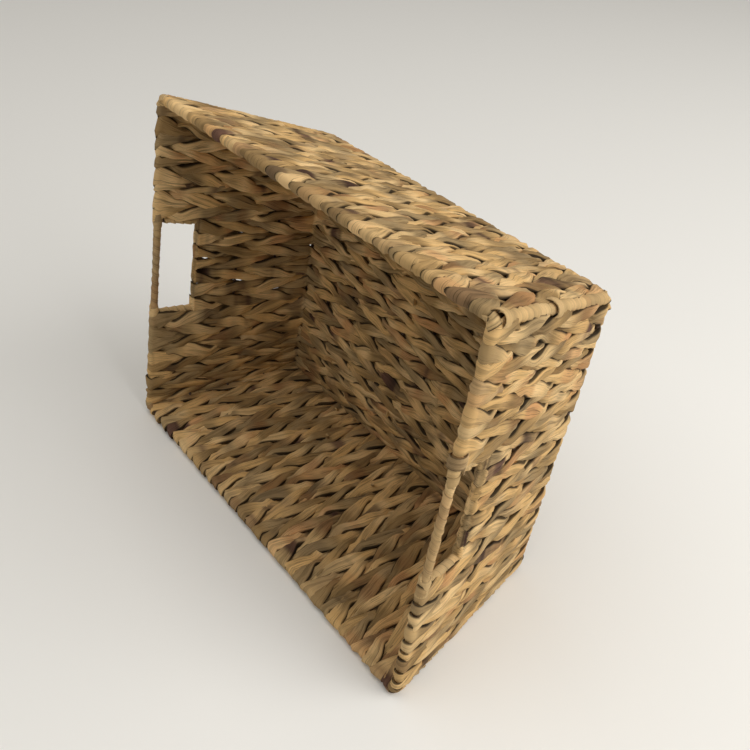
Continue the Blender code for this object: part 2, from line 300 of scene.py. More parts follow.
def new_tree(name, kind, inputs, outputs):
    """A node tree with named sockets. An input is (name, kind, default), and an output (name, kind)."""
    tree = bpy.data.node_groups.new(name, kind)
    for label, socket_kind, default in inputs:
        socket = tree.interface.new_socket(label, in_out="INPUT", socket_type=f"NodeSocket{socket_kind}")
        if default is not None:
            socket.default_value = default
    for label, socket_kind in outputs:
        tree.interface.new_socket(label, in_out="OUTPUT", socket_type=f"NodeSocket{socket_kind}")
    return tree


strand_inputs = (
    ("Geometry", "Geometry", None),
    ("Face Width", "Float", 0.012),
    ("Crossing Width", "Float", 0.009),
    ("Face Thickness", "Float", 0.004),
    ("Crossing Thickness", "Float", 0.006),
    ("Depth", "Float", 0.0),
    ("Linger", "Float", 1.0),
    ("Swing", "Float", 0.0),
    ("Roll", "Float", 0.0),
    ("Shingle", "Float", 0.0),
    ("Cupping", "Float", 0.0),
    ("Press", "Float", 1.0),
    ("Wander", "Float", 0.0),
    ("Unevenness", "Float", 0.8),
    ("Crumple", "Float", 0.0014),
    ("Edge Sharpness", "Float", 0.6),
    ("Sides", "Int", 16),
    ("Material", "Material", None),
)
guide_vectors = ("face", "side", "leaf")
guide_numbers = ("phase", "sense", "tilt", "swell")
curve_vectors = ("anchor", "middle", "wide", "thick", "cup")

# How a strand strays: the scale and detail of the noise, its middle, and the shares of it that move the
# strand outwards and change its width
stray_scale = 30.0
stray_detail = 2.0
stray_middle = (0.5, 0.5, 0.5)
outward_stray_share = 0.5
width_stray_share = 1.5

# How straight a strand runs from side to side, and its least width, as a share, where it passes its partner
steepest_turn = 0.98
straightness = 0.70
least_leafy = 0.02

# The section's shape, the share of what stands too high that is pressed down, and where its edge starts
section_power = 0.6
pressed_share = 0.7
edge_start = 0.99

# Lengthwise creases: half a strand's width in their noise, the noise's scale and detail, and the ramp that
# makes -1 of a fold and 1 of a ridge
crease_spread = 0.07
crease_scale = 24.0
crease_detail = 1.0
crease_ramp = (0.36, 0.64, -1.0, 1.0)


def strand_tree():
    """Grows a flat strand along each guide line, twisting about the line's partner as its phase turns."""
    found = bpy.data.node_groups.get("flat_strand")
    if found:
        return found
    tree = new_tree("flat_strand", "GeometryNodeTree", strand_inputs, [("Geometry", "Geometry")])
    group = add_node(tree, "NodeGroupInput").outputs
    face, side, leaf = (read_attribute(tree, name, "FLOAT_VECTOR") for name in guide_vectors)
    phase, sense, tilt, swell = (read_attribute(tree, name) for name in guide_numbers)
    turn = maths(tree, "COSINE", phase)
    facing = times(tree, turn, turn)
    passing = times(tree, maths(tree, "SINE", phase), sense)
    straight = maths(tree, "ARCSINE", times(tree, passing, steepest_turn))
    straight = times(tree, straight, straightness)

    # The middle of the strand, which swings from one side of the wires to the other
    stray = noise(tree, leaf, stray_scale, stray_detail, "Color")
    stray = split_up(tree, vector_maths(tree, "SUBTRACT", stray, stray_middle))
    out_by = times(tree, signed_power(tree, turn, group["Linger"]), group["Depth"])
    outward_stray = times(tree, stray["X"], group["Wander"])
    out_by = maths(tree, "MULTIPLY_ADD", outward_stray, outward_stray_share, out_by)
    over_by = times(tree, times(tree, straight, group["Swing"]), swell)
    over_by = maths(tree, "MULTIPLY_ADD", stray["Y"], group["Wander"], over_by)
    place = add_node(tree, "GeometryNodeInputPosition").outputs["Position"]
    middle = summed(tree, place, scaled(tree, face, out_by), scaled(tree, side, over_by))

    # It lies flat on the wires and stands on edge beside its partner
    edgewise = times(tree, passing, times(tree, passing, passing))
    lean = maths(tree, "MULTIPLY_ADD", edgewise, group["Roll"], tilt)
    lean = maths(tree, "MULTIPLY_ADD", group["Shingle"], turn, lean)
    lean = maths(tree, "MULTIPLY_ADD", stray["X"], group["Unevenness"], lean)
    up, along = maths(tree, "COSINE", lean), maths(tree, "SINE", lean)
    outward = summed(tree, scaled(tree, face, up), scaled(tree, side, along))
    sideways = vector_maths(tree, "SUBTRACT", scaled(tree, side, up), scaled(tree, face, along))
    leafy = maths(tree, "SQRT", maths(tree, "MULTIPLY_ADD", facing, 1 - least_leafy, least_leafy))
    width = times(tree, blended(tree, leafy, group["Crossing Width"], group["Face Width"]), swell)
    uneven = times(tree, group["Unevenness"], width_stray_share)
    uneven = maths(tree, "MULTIPLY_ADD", stray["Z"], uneven, 1.0)
    half_width = times(tree, times(tree, width, uneven), 0.5)
    lying = times(tree, facing, facing)
    thickness = blended(tree, lying, group["Crossing Thickness"], group["Face Thickness"])
    half_thickness = times(tree, thickness, 0.5)

    # A tube along the curve, whose points know the curve's own
    curve = add_node(tree, "GeometryNodeMeshToCurve", {"Mesh": group["Geometry"]}).outputs["Curve"]
    wide, thick = scaled(tree, sideways, half_width), scaled(tree, outward, half_thickness)
    cup = scaled(tree, face, times(tree, turn, group["Cupping"]))
    for name, value in zip(curve_vectors, (place, middle, wide, thick, cup)):
        curve = store(tree, curve, name, value)
    anchor, middle, wide, thick, cup = (read_attribute(tree, name, "FLOAT_VECTOR") for name in curve_vectors)
    curve = add_node(tree, "GeometryNodeSetPosition", {"Geometry": curve, "Position": middle}).outputs[0]
    ring = add_node(tree, "GeometryNodeCurvePrimitiveCircle", {"Resolution": group["Sides"], "Radius": 1.0})
    spot = add_node(tree, "GeometryNodeInputPosition").outputs["Position"]
    ring = store(tree, ring.outputs["Curve"], "section", spot)
    wires = {"Curve": curve, "Profile Curve": ring, "Fill Caps": True}
    mesh = add_node(tree, "GeometryNodeCurveToMesh", wires).outputs["Mesh"]

    # The section: flat faces with rounded edges, creased lengthwise
    section = split_up(tree, read_attribute(tree, "section", "FLOAT_VECTOR"))
    reach = signed_power(tree, section["X"], section_power)
    crease = times(tree, crease_height(tree, leaf, reach), group["Crumple"])
    crease = maths(tree, "DIVIDE", crease, half_thickness)
    sharp = times(tree, group["Edge Sharpness"], facing)
    sharp = blended(tree, sharp, 1.0, maths(tree, "ABSOLUTE", section["Y"]))
    rise = times(tree, section["Y"], sharp)
    rise = times(tree, rise, maths(tree, "ADD", crease, 1.0))
    spot = summed(tree, middle, scaled(tree, wide, reach), scaled(tree, thick, rise))
    spot = vector_maths(tree, "SUBTRACT", spot, scaled(tree, cup, times(tree, reach, reach)))
    height = vector_maths(tree, "DOT_PRODUCT", vector_maths(tree, "SUBTRACT", spot, anchor), face)
    excess = maths(tree, "SUBTRACT", maths(tree, "ABSOLUTE", height), group["Press"])
    excess = times(tree, maths(tree, "MAXIMUM", excess, 0.0), -pressed_share)
    excess = times(tree, excess, maths(tree, "SIGN", height))
    spot = summed(tree, spot, scaled(tree, face, excess))
    mesh = add_node(tree, "GeometryNodeSetPosition", {"Geometry": mesh, "Position": spot}).outputs["Geometry"]

    mesh = store(tree, mesh, "across", reach, "FLOAT")
    for name in ("face", "side", *guide_numbers, *curve_vectors, "section"):
        mesh = add_node(tree, "GeometryNodeRemoveAttribute", {"Geometry": mesh, "Name": name}).outputs[0]
    mesh = add_node(tree, "GeometryNodeSetShadeSmooth", {"Geometry": mesh}).outputs["Geometry"]
    edge = maths(tree, "GREATER_THAN", maths(tree, "ABSOLUTE", read_attribute(tree, "across")), edge_start)
    wires = {"Geometry": mesh, "Selection": edge, "Shade Smooth": False}
    mesh = add_node(tree, "GeometryNodeSetShadeSmooth", wires, domain="EDGE").outputs["Geometry"]
    mesh = add_node(tree, "GeometryNodeRealizeInstances", {"Geometry": mesh}).outputs["Geometry"]
    wires = {"Geometry": mesh, "Material": group["Material"]}
    mesh = add_node(tree, "GeometryNodeSetMaterial", wires).outputs["Geometry"]
    add_node(tree, "NodeGroupOutput", {"Geometry": mesh})
    return tree


def leaf_spot(tree, leaf, over, half_width):
    """A place on the leaf for a point across it, which noise reads, with the leaf's half width there."""
    offset = add_node(tree, "ShaderNodeCombineXYZ", {"Z": times(tree, over, half_width)}).outputs[0]
    return summed(tree, leaf, offset)


def crease_height(tree, leaf, over):
    """Lengthwise creases of a strand, from about -1 in a fold to 1 on a ridge."""
    folds = noise(tree, leaf_spot(tree, leaf, over, crease_spread), crease_scale, crease_detail)
    return ramped(tree, folds, *crease_ramp)


def guide_mesh(name, lines):
    """The guide lines as loose edges, with what the strands need to know stored on their points."""
    mesh = bpy.data.meshes.new(name)
    edges = []
    start = 0
    for line in lines:
        end = start + len(line.points)
        edges += zip(range(start, end - 1), range(start + 1, end))
        if line.closed:
            edges.append((end - 1, start))
        start = end
    points = np.concatenate([line.points for line in lines])
    mesh.from_pydata(points.tolist(), edges, [])
    kinds = [(label, "FLOAT_VECTOR", "vector") for label in guide_vectors]
    kinds += [(label, "FLOAT", "value") for label in guide_numbers]
    for label, kind, member in kinds:
        values = np.concatenate([getattr(line, label) for line in lines]).astype(np.float32)
        mesh.attributes.new(label, kind, "POINT").data.foreach_set(member, values.ravel())
    return mesh


def grow(name, lines, material, replaced, sizes):
    """Grows strands on the guide lines, as one plain mesh that stands for the named nodes of the frame."""
    guide = bpy.data.objects.new(name + "_guide", guide_mesh(name + "_guide", lines))
    bpy.context.scene.collection.objects.link(guide)
    tree = strand_tree()
    modifier = guide.modifiers.new("strands", "NODES")
    modifier.node_group = tree
    for label, value in {**sizes, "Material": material}.items():
        modifier[tree.interface.items_tree[label].identifier] = value
    graph = bpy.context.evaluated_depsgraph_get()
    mesh = bpy.data.meshes.new_from_object(guide.evaluated_get(graph))
    bpy.data.objects.remove(guide, do_unlink=True)
    if not mesh.polygons:
        raise RuntimeError(f"{name}: no strands grew")
    mesh.name = name
    piece = bpy.data.objects.new(name, mesh)
    bpy.context.scene.collection.objects.link(piece)
    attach(piece, "root")
    if replaced:
        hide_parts(*replaced)


def twined_sizes():
    """What the strand settings say, under the names of the node tree's inputs."""
    strands = strand_settings()
    labels = {label: label.lower().replace(" ", "_") for label, *rest in strand_inputs}
    return {label: getattr(strands, name) for label, name in labels.items() if hasattr(strands, name)}


# Guide lines of the rows

# How far the outermost rows lie past the slabs' ends, and how a path is rounded where a wall meets the base
corner_fill = 0.0015
corner_reach = 0.0145
inner_sharpness = 2.0
outer_sharpness = 7.0

# The folds over the end wires: their points, their lean, and how much wider they are away from the corners
fold_steps = 7
fold_tilt = 0.12
fold_spread = 0.42
plain_fold_reach = 0.012

# The least points of a strand, and how far apart the noise of two rows lies
least_points = 3
row_noise_gap = 3.7

# Each row's number settles how it varies. The end walls' rows count from 0, and the long walls' from these.
first_row_numbers = {"front": 100, "back": 200}


def bent_path(spots, corners, reach, sharpness):
    """Points along a bent line at the given distances, with each bend rounded over a reach on both sides.

    A bend is drawn by a rational curve, and follows its corner more closely the greater the sharpness.
    """
    marks = distances(corners)
    points = np.stack([np.interp(spots, marks, corners[:, axis]) for axis in range(3)], 1)
    for index in range(1, len(corners) - 1):
        near = np.abs(spots - marks[index]) < reach
        before = corners[index] - unit(corners[index] - corners[index - 1]) * reach
        after = corners[index] + unit(corners[index + 1] - corners[index]) * reach
        share = ((spots[near] - marks[index]) / reach / 2 + 0.5)[:, None]
        pull = 2 * sharpness[near][:, None] * share * (1 - share)
        whole = before * (1 - share) ** 2 + corners[index] * pull + after * share**2
        points[near] = whole / ((1 - share) ** 2 + pull + share**2)
    return points


def leaf_marks(spots, number, loop_length):
    """Where each point lies on its strand, for colours and creases: round a circle as long as the strand."""
    radius = loop_length / (2 * np.pi)
    angle = spots / radius
    rows = np.full(len(spots), number * row_noise_gap + strand_settings().seed)
    return np.stack([radius * np.cos(angle), radius * np.sin(angle), rows], 1)


def row_leg(row, low, high, upward):
    """One strand of a row between two distances along it.

    The downward strand lies outside the wires at the row's start, and the upward strand inside.
    """
    strands = strand_settings()
    spots = np.linspace(low, high, max(least_points, round((high - low) / strands.step)))
    stray = np.random.default_rng(row.number).uniform(-1, 1, len(row.knots)) * strands.stagger
    stray[[0, 1, -2, -1]] = 0  # the end wires, and the hoops at the sills of the hand holes
    phase = np.interp(spots, row.knots + stray, np.arange(len(row.knots)) * np.pi)
    outside = np.cos(phase) * (-1 if upward else 1)
    sharpness = mix(inner_sharpness, outer_sharpness, (outside + 1) / 2)
    points = bent_path(spots, row.corners, corner_reach, sharpness)
    tangents = unit(np.gradient(points, axis=0))
    side = squared(np.tile(row.side, (len(spots), 1)), tangents)
    face = np.cross(side, tangents)
    leaf = leaf_marks(-spots if upward else spots, row.number, 2 * distances(row.corners)[-1])
    flat = np.zeros(len(spots))
    axis = int(abs(row.side[1]) > abs(row.side[0]))
    narrowing = points[:, axis] / row.corners[0][axis] * row.girth
    if upward:
        line = Line(points, -face, side, phase, flat - row.sense, flat, narrowing, leaf, False)
        return Line(*(value[::-1] for value in line[:-1]), False)
    return Line(points, face, side, phase, flat + row.sense, flat, narrowing, leaf, False)


def share_down(z):
    """How far down the walls a height is: 0 at the rim's wire and 1 at the base's."""
    return (rim_z - z) / (rim_z - base_z)


def corner_gap(point):
    """How far a point on the rim, on the base ring or in a wall is from the nearest corner post."""
    half = half_rim.lerp(half_base, share_down(point[2]))
    return max(half.x - abs(point[0]), half.y - abs(point[1]))


def fold(before, after, beyond):
    """The turn of a strand over an end wire, from the end of one leg to the start of the next.

    It spreads out over the wire, except at a corner, where two walls' strands meet.
    """
    share = (np.arange(fold_steps) + 1.0) / (fold_steps + 1)
    angle = share * np.pi
    turning = np.outer(np.cos(angle), before.face[-1])
    turning += np.outer(np.sin(angle) * np.sign(np.cos(before.phase[-1])), beyond)
    held = np.ones(len(share))
    spread_by = fold_spread if corner_gap(before.points[-1]) > plain_fold_reach else 0.0
    return Line(
        before.points[-1] + np.outer(share, after.points[0] - before.points[-1]),
        turning,
        np.outer(held, before.side[-1]),
        held * before.phase[-1],
        held * before.sense[-1],
        fold_tilt * np.sin(angle),
        before.swell[-1] * (1 + spread_by * np.sin(angle)),
        before.leaf[-1] + np.outer(share, after.leaf[0] - before.leaf[-1]),
        False,
    )


def joined(lines, closed=False):
    return Line(*(np.concatenate(values) for values in zip(*(line[:-1] for line in lines))), closed)


def row_sense(number):
    """Each row twists the other way from the last."""
    return 1 if number % 2 else -1


def end_row(at_rim, girth, number):
    """A row of the end walls, which runs down the left wall, along the base and up the right wall."""
    foot = at_rim * half_base.y / half_rim.y
    places = (-half_rim.x, at_rim, rim_z), (-half_base.x, foot, base_z)
    corners = np.array([*places, (half_base.x, foot, base_z), (half_rim.x, at_rim, rim_z)])
    slant = np.linalg.norm(corners[1] - corners[0])
    wall_knots = [0.0, *(share * slant for share in hoop_shares), slant]
    base_knots = [slant + half_base.x + x for x in stake_xs]
    whole = 2 * slant + 2 * half_base.x
    knots = [*wall_knots, *base_knots, *(whole - knot for knot in reversed(wall_knots))]
    return Row(corners, np.array(knots), row_sense(number), y_axis, number, girth)


def long_row(at_rim, girth, side, number):
    """A row of a long wall, from the rim to the base ring."""
    foot = at_rim * half_base.x / half_rim.x
    sign = sides[side]
    corners = np.array([(at_rim, sign * half_rim.y, rim_z), (foot, sign * half_base.y, base_z)])
    slant = np.linalg.norm(corners[1] - corners[0])
    knots = np.array([0.0, *(share * slant for share in hoop_shares), slant])
    return Row(corners, knots, row_sense(number), np.array((sign, 0.0, 0.0)), number, girth)


def looped_row(row):
    """Both strands of a long wall's row, as one loop that is folded over the rim rod and the base ring."""
    down, up = (row_leg(row, row.knots[0], row.knots[-1], upward) for upward in (False, True))
    below = unit(row.corners[1] - row.corners[0])
    return joined([down, fold(down, up, below), up, fold(up, down, -below)], True)


def bend_end(row):
    """Where an end wall's piece of a row hands over to the base's, past the bend."""
    return row.knots[len(hoop_shares) + 1] + corner_reach


def end_wall_row(row, end, top):
    """A row's strands in one end wall, folded over the wire at its top."""
    if end == "left":
        low, high = row.knots[top], bend_end(row)
        above = unit(row.corners[0] - row.corners[1])
    else:
        low, high = row.knots[-1] - bend_end(row), row.knots[-1 - top]
        above = unit(row.corners[3] - row.corners[2])
    down, up = row_leg(row, low, high, False), row_leg(row, low, high, True)
    first, last = (up, down) if end == "left" else (down, up)
    return joined([first, fold(first, last, above), last])


def base_row(row):
    return [row_leg(row, bend_end(row), row.knots[-1] - bend_end(row), upward) for upward in (False, True)]


def spread(low, high, rows, chance):
    """Middles of a number of rows between two edges, each with the share of the usual width that it takes."""
    girths = 1 + strand_settings().row_variation * chance.uniform(-1, 1, rows)
    girths *= rows / girths.sum()
    middles = low + (np.cumsum(girths) - girths / 2) * (high - low) / rows
    return list(zip(middles, girths))


def end_row_groups():
    """The rows of the end walls, by the part of the wall that they belong to."""
    strands = strand_settings()
    far_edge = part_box("weave_left_back")[1].y + corner_fill
    hole_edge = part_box("weave_left_under_hole")[1].y / end_wall_taper(hoop_shares[0])
    chance = np.random.default_rng(strands.seed)
    places = {
        "front": spread(-far_edge, -hole_edge, strands.shoulder_rows, chance),
        "under_hole": spread(-hole_edge, hole_edge, strands.sill_rows, chance),
        "back": spread(hole_edge, far_edge, strands.shoulder_rows, chance),
    }
    numbers = count()
    return {group: [end_row(*place, next(numbers)) for place in places[group]] for group in places}


# Guide lines of the wound strips

# Each strip's number settles how it varies, and each kind of strip has numbers of its own
strip_kinds = ("grip", "leg", "lashing", "post", "rim", "base", "loose", "weathered", "stub", "fibre")
first_strip_number = 300
numbers_per_kind = 10
least_turn_points = 10
points_per_turn = 16
least_strip_length = 0.1

# How all strips vary
strip_variation = {"Unevenness": 0.10, "Crumple": 0.0004, "Wander": 0.0003, "Sides": 12}

# Grips: they are wound a little past their lashings, the other way round from the other strips
grip_strip_thickness = 0.0008
grip_overrun = 0.004
grip_cupping = 0.0004
grip_lean = 0.02

# Legs and corner posts: the radius that the strip is wound at, and how far the post's lies in from its wire
leg_radius = 0.0030
leg_overrun = 0.001
post_strip_radius = 0.0036
post_inset = 0.0004
post_lean = 0.14

# Lashings at the ends of the grips, and wraps of the rim's and the base's corners, of a thicker strand
thick_strip = 0.0018
lashing_inset = 0.0012
lashing_pitch = 0.0065
lashing_width = 0.0088
wrap_gap = 0.0005
wrap_inset = 0.0008
wrap_pitch = 0.0060
wrap_width = 0.0085
wrap_lean = 0.12
wrap_corner_points = 9

# Loose turns of strip round the left front corner's post: a name, the share of the way down at which the turn
# starts, the share that it goes down, its radius and how many times it goes round
loose_turns = (
    ("corner_curl", 0.006, 0.05, 0.0060, 1.15),
    ("cross_lashing", 0.40, 0.09, 0.0062, 1.0),
)

# The weathered strip beside the left hand hole: its turns on the rim, between two distances from the lashing,
# and its tail, which starts this far over and down, runs down, leans back and narrows
weathered_width = 0.0092
weathered_radius = 0.0056
weathered_pitch = 0.0062
weathered_gaps = (0.0100, 0.0025)
tail_points = 14
tail_over = 0.004
tail_down = 0.002
tail_length = 0.026
tail_lift = 0.0042
tail_sink = 0.0012
tail_way = (-1.0, 0.0, -0.2)
tail_start_share = 0.75
tail_end_share = 0.2

# Broken ends that stand up inside: their place and the way that they point
stub_places = (
    ((0.0763, 0.1226, 0.0153), (-0.3, -0.6, 0.7)),
    ((0.0499, 0.1287, 0.0466), (-0.4, -0.8, 0.4)),
    ((-0.0276, 0.1295, 0.0507), (-0.5, -0.7, 0.4)),
    ((0.0540, 0.1200, 0.0125), (-0.6, -0.5, 0.6)),
    ((0.0122, 0.0855, 0.0098), (-0.6, 0.2, 0.7)),
    ((0.0081, -0.0346, 0.0098), (-0.7, 0.3, 0.6)),
)
stub_length = 0.0065
stub_width = 0.0030
stub_thickness = 0.0022
stub_root_share = -0.3
stub_points = 7
stub_way = (0.3, 1.0, 0.2)

# Hairs that have come away from the strands: their two ends and how far they bow
fibre_places = (
    ((0.1085, 0.0304, 0.0112), (0.0793, 0.0163, 0.0118), 0.004),
    ((-0.040, 0.060, 0.0108), (-0.058, 0.071, 0.0122), -0.003),
    ((0.030, -0.085, 0.0108), (0.018, -0.072, 0.0126), 0.003),
)
fibre_width = 0.0007
fibre_thickness = 0.0005
fibre_points = 12


def strip_number(kind, index=0):
    return first_strip_number + numbers_per_kind * strip_kinds.index(kind) + index


def strip_line(points, faces, number, swell=1.0, lean=0.0):
    """A strip that lies along the points with its face turned the given way."""
    tangents = unit(np.gradient(points, axis=0))
    face = squared(np.broadcast_to(faces, points.shape), tangents)
    spots = distances(points)
    still = np.zeros(len(points))
    leaf = leaf_marks(spots, number, max(spots[-1], least_strip_length) * 2)
    side = np.cross(tangents, face)
    return Line(points, face, side, still, still + 1, still + lean, still + swell, leaf, False)


def winding(path, across, radius, pitch, number, start=0.0, hand=1, lean=0.1):
    """A strip wound round a path, with turns a pitch apart, to the right or with hand -1 to the left."""
    marks = distances(path)
    spots = np.linspace(0, marks[-1], max(least_turn_points, round(marks[-1] / pitch * points_per_turn)))
    middles = np.stack([np.interp(spots, marks, path[:, axis]) for axis in range(3)], 1)
    tangents = unit(np.gradient(middles, axis=0))
    first = squared(np.tile(across, (len(spots), 1)), tangents)
    second = np.cross(tangents, first)
    angles = (start + hand * 2 * np.pi * spots / pitch)[:, None]
    radial = first * np.cos(angles) + second * np.sin(angles)
    return strip_line(middles + radial * radius, radial, number, lean=lean)


def end_wall_taper(share):
    """The width of an end wall this share of the way down, as a share of its width at the rim."""
    return mix(1.0, half_base.y / half_rim.y, share)


def end_wall_point(end, at_rim, z):
    """A point in the plane of an end wall's wires, on the line that starts at the given place on the rim."""
    share = share_down(z)
    return np.array((ends[end] * mix(half_rim.x, half_base.x, share), at_rim * end_wall_taper(share), z))


def corner_path(half, z, end, side, inner_x, inner_y):
    """The wire's line round a corner of the rim or the base, between two distances from the middle."""
    radius = strip_settings().corner_radius
    angles = np.linspace(0, np.pi / 2, wrap_corner_points)
    arc = [(half.x - radius * (1 - np.sin(a)), half.y - radius * (1 - np.cos(a))) for a in angles]
    flat = [(inner_x, half.y), *arc, (half.x, inner_y)]
    return np.array([(ends[end] * x, sides[side] * y, z) for x, y in flat])


def weathered_lines():
    """The strip that goes round the rim beside the left hand hole, and its frayed tail."""
    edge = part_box("grip_lashing_left_front")[0].y
    path = np.array([(-half_rim.x, edge - gap, rim_z) for gap in weathered_gaps])
    number = strip_number("weathered")
    band = winding(path, z_axis, weathered_radius, weathered_pitch, number, start=np.pi)
    share = np.linspace(0, 1, tail_points)
    places = zip(edge - tail_over + tail_over * share, rim_z - tail_down - tail_length * share)
    tail = np.array([end_wall_point("left", *place) for place in places])
    tail[:, 0] -= tail_lift - tail_sink * share
    return [band, strip_line(tail, tail_way, number + 1, mix(tail_start_share, tail_end_share, share**2))]


def stub_line(index, place, way):
    share = np.linspace(stub_root_share, 1, stub_points)[:, None]
    points = np.array(place) + share * stub_length * unit(np.array(way))
    return strip_line(points, stub_way, strip_number("stub", index))


def fibre_line(index, start, end, bow):
    share = np.linspace(0, 1, fibre_points)[:, None]
    start, end = np.array(start), np.array(end)
    bend = unit(np.cross(end - start, z_axis))
    points = mix(start, end, share) + np.sin(np.pi * share) * bow * bend
    return strip_line(points, z_axis, strip_number("fibre", index))


def strip_sizes(width, thickness=None, cupping=0.0):
    thickness = thickness or strip_settings().thickness
    sizes = {"Face Width": width, "Crossing Width": width, "Cupping": cupping}
    return {**sizes, "Face Thickness": thickness, "Crossing Thickness": thickness, **strip_variation}


# Materials

leaf_inputs = (
    ("Leaf", "Vector", None),
    ("Across", "Float", 0.0),
    ("Straw", "Color", None),
    ("Pale", "Color", None),
    ("Tan", "Color", None),
    ("Olive", "Color", None),
    ("Plum", "Color", None),
    ("Patches", "Float", 17.0),
    ("Stains", "Float", 0.62),
    ("Fibres And Painted Shade", "Float", 1.0),
)
leaf_outputs = (("Color", "Color"), ("Height", "Float"), ("Roughness", "Float"))

# How finely patches of colour lie on each kind of leaf, how rare its stains are and how strong its fibres,
# tones and painted shade
strand_look = (22.0, 0.60, 1.0)
strip_look = (9.0, 0.74, 0.45)
weathered_look = (2.0, 0.74, 0.8)
strip_paleness = 0.6

# Where in their noise the colours lie: from low to high, and what the ramp gives there if not 0 and 1
pale_ramp = (0.42, 0.62)
tan_ramp = (0.53, 0.70, 0.0, 0.75)
olive_ramp = (0.53, 0.70, 0.0, 0.60)
stain_ramp = (0.0, 0.12)
patch_detail = 2.0
stain_detail = 3.0
stain_shift = (3.1, 1.7, 0.4)

# Ramps of the leaf's brightness, as such ramps: the tone of the fibres and of whole stretches, and painted
# shade in the splits between the fibres, in the folds and along the edges
fibre_shade = (0.34, 0.47, 0.62, 1.04)
painted_split_shade = (0.33, 0.40, 0.50, 1.0)
tone_shade = (0.36, 0.62, 0.54, 1.14)
painted_fold_shade = (-1.0, -0.2, 0.74, 1.0)
painted_edge_shadow = (0.78, 0.97, 1.0, 0.10)
fibre_roughness = (0.3, 0.7, 0.72, 0.92)
fibre_spread = 0.30
split_spread = 0.22
fibre_noise = {"scale": 36.0, "detail": 4.0, "roughness": 0.7}
split_noise = {"scale": 44.0, "detail": 2.0}
tone_noise = {"scale": 27.0, "detail": 0.0}
tone_shift = (1.3, 5.1, 2.7)

# The leaf's relief and gloss
crease_relief = 0.25
bump = {"Strength": 0.8, "Distance": 0.0010}
leaf_gloss = 0.18

# The wires' two colours, the noise between them, its ramp of roughness, and how metallic they are
wire_colours = ((0.045, 0.027, 0.017, 1), (0.115, 0.066, 0.038, 1))
wire_noise = {"scale": 300.0, "detail": 4.0}
wire_roughness = (0.2, 0.8, 0.35, 0.7)
wire_metal = 0.2


def leaf_group():
    """The look of a dry leaf: patches of colour along it, dark stains, creases, splits and fine fibres, with
    painted shade in the folds, in the splits and along the edges.
    """
    found = bpy.data.node_groups.get("dry_leaf")
    if found:
        return found
    tree = new_tree("dry_leaf", "ShaderNodeTree", leaf_inputs, leaf_outputs)
    group = add_node(tree, "NodeGroupInput").outputs
    leaf, over = group["Leaf"], group["Across"]
    patches = split_up(tree, noise(tree, leaf, group["Patches"], patch_detail, "Color"))
    colour = tinted(tree, ramped(tree, patches["X"], *pale_ramp), group["Straw"], group["Pale"])
    colour = tinted(tree, ramped(tree, patches["Y"], *tan_ramp), colour, group["Tan"])
    colour = tinted(tree, ramped(tree, patches["Z"], *olive_ramp), colour, group["Olive"])
    stains = noise(tree, summed(tree, leaf, stain_shift), group["Patches"], stain_detail)
    stains = ramped(tree, maths(tree, "SUBTRACT", stains, group["Stains"]), *stain_ramp)
    colour = tinted(tree, stains, colour, group["Plum"])

    fibres = noise(tree, leaf_spot(tree, leaf, over, fibre_spread), **fibre_noise)
    splits = noise(tree, leaf_spot(tree, leaf, over, split_spread), **split_noise)
    tones = noise(tree, summed(tree, leaf, tone_shift), **tone_noise)
    crease = crease_height(tree, leaf, over)
    shade = ramped(tree, fibres, *fibre_shade)
    # Painted shade in the thin splits between the fibres
    shade = times(tree, shade, ramped(tree, splits, *painted_split_shade))
    shade = times(tree, shade, ramped(tree, tones, *tone_shade))
    # Painted shade in the folds of the lengthwise creases
    shade = times(tree, shade, ramped(tree, crease, *painted_fold_shade))
    # Painted shadow along the edges of each strand, where its neighbours overlap and shade it
    shade = times(tree, shade, ramped(tree, maths(tree, "ABSOLUTE", over), *painted_edge_shadow))
    # The strength input scales the grain, the tones and the painted shade together, and grey carries them
    # into the colour
    shade = blended(tree, group["Fibres And Painted Shade"], 1.0, shade)
    grey = add_node(tree, "ShaderNodeCombineColor", {0: shade, 1: shade, 2: shade}).outputs[0]
    look = {
        "Color": tinted(tree, 1.0, colour, grey, "MULTIPLY"),
        "Height": maths(tree, "MULTIPLY_ADD", crease, crease_relief, fibres),
        "Roughness": ramped(tree, fibres, *fibre_roughness),
    }
    add_node(tree, "NodeGroupOutput", look)
    return tree


def leaf_material(name, straw, patches, stains, fibres):
    """Dry flat leaf of the basket's own colours, round a usual colour of its own."""
    found = bpy.data.materials.get(name)
    if found:
        return found
    material = bpy.data.materials.new(name)
    material.use_nodes = True
    tree = material.node_tree
    colours = colour_settings()
    wires = {
        "Leaf": add_node(tree, "ShaderNodeAttribute", attribute_name="leaf").outputs["Vector"],
        "Across": add_node(tree, "ShaderNodeAttribute", attribute_name="across").outputs["Fac"],
        "Straw": (*straw, 1),
        "Patches": patches,
        "Stains": stains,
        "Fibres And Painted Shade": fibres,
    }
    for label in ("Pale", "Tan", "Olive", "Plum"):
        wires[label] = (*getattr(colours, label.lower()), 1)
    look = add_node(tree, "ShaderNodeGroup", node_tree=leaf_group())
    fill(tree, look, wires)
    relief = add_node(tree, "ShaderNodeBump", {"Height": look.outputs["Height"], **bump})
    finish = {
        "Base Color": look.outputs["Color"],
        "Roughness": look.outputs["Roughness"],
        "Normal": relief.outputs["Normal"],
        "Specular IOR Level": leaf_gloss,
    }
    fill(tree, tree.nodes["Principled BSDF"], finish)
    return material


def strand_material():
    return leaf_material("dry_strand", colour_settings().straw, *strand_look)


def strip_material():
    colours = colour_settings()
    straw = Vector(colours.straw).lerp(Vector(colours.pale), strip_paleness)
    return leaf_material("pale_strip", straw, *strip_look)


def weathered_material():
    return leaf_material("weathered_strip", colour_settings().grey, *weathered_look)


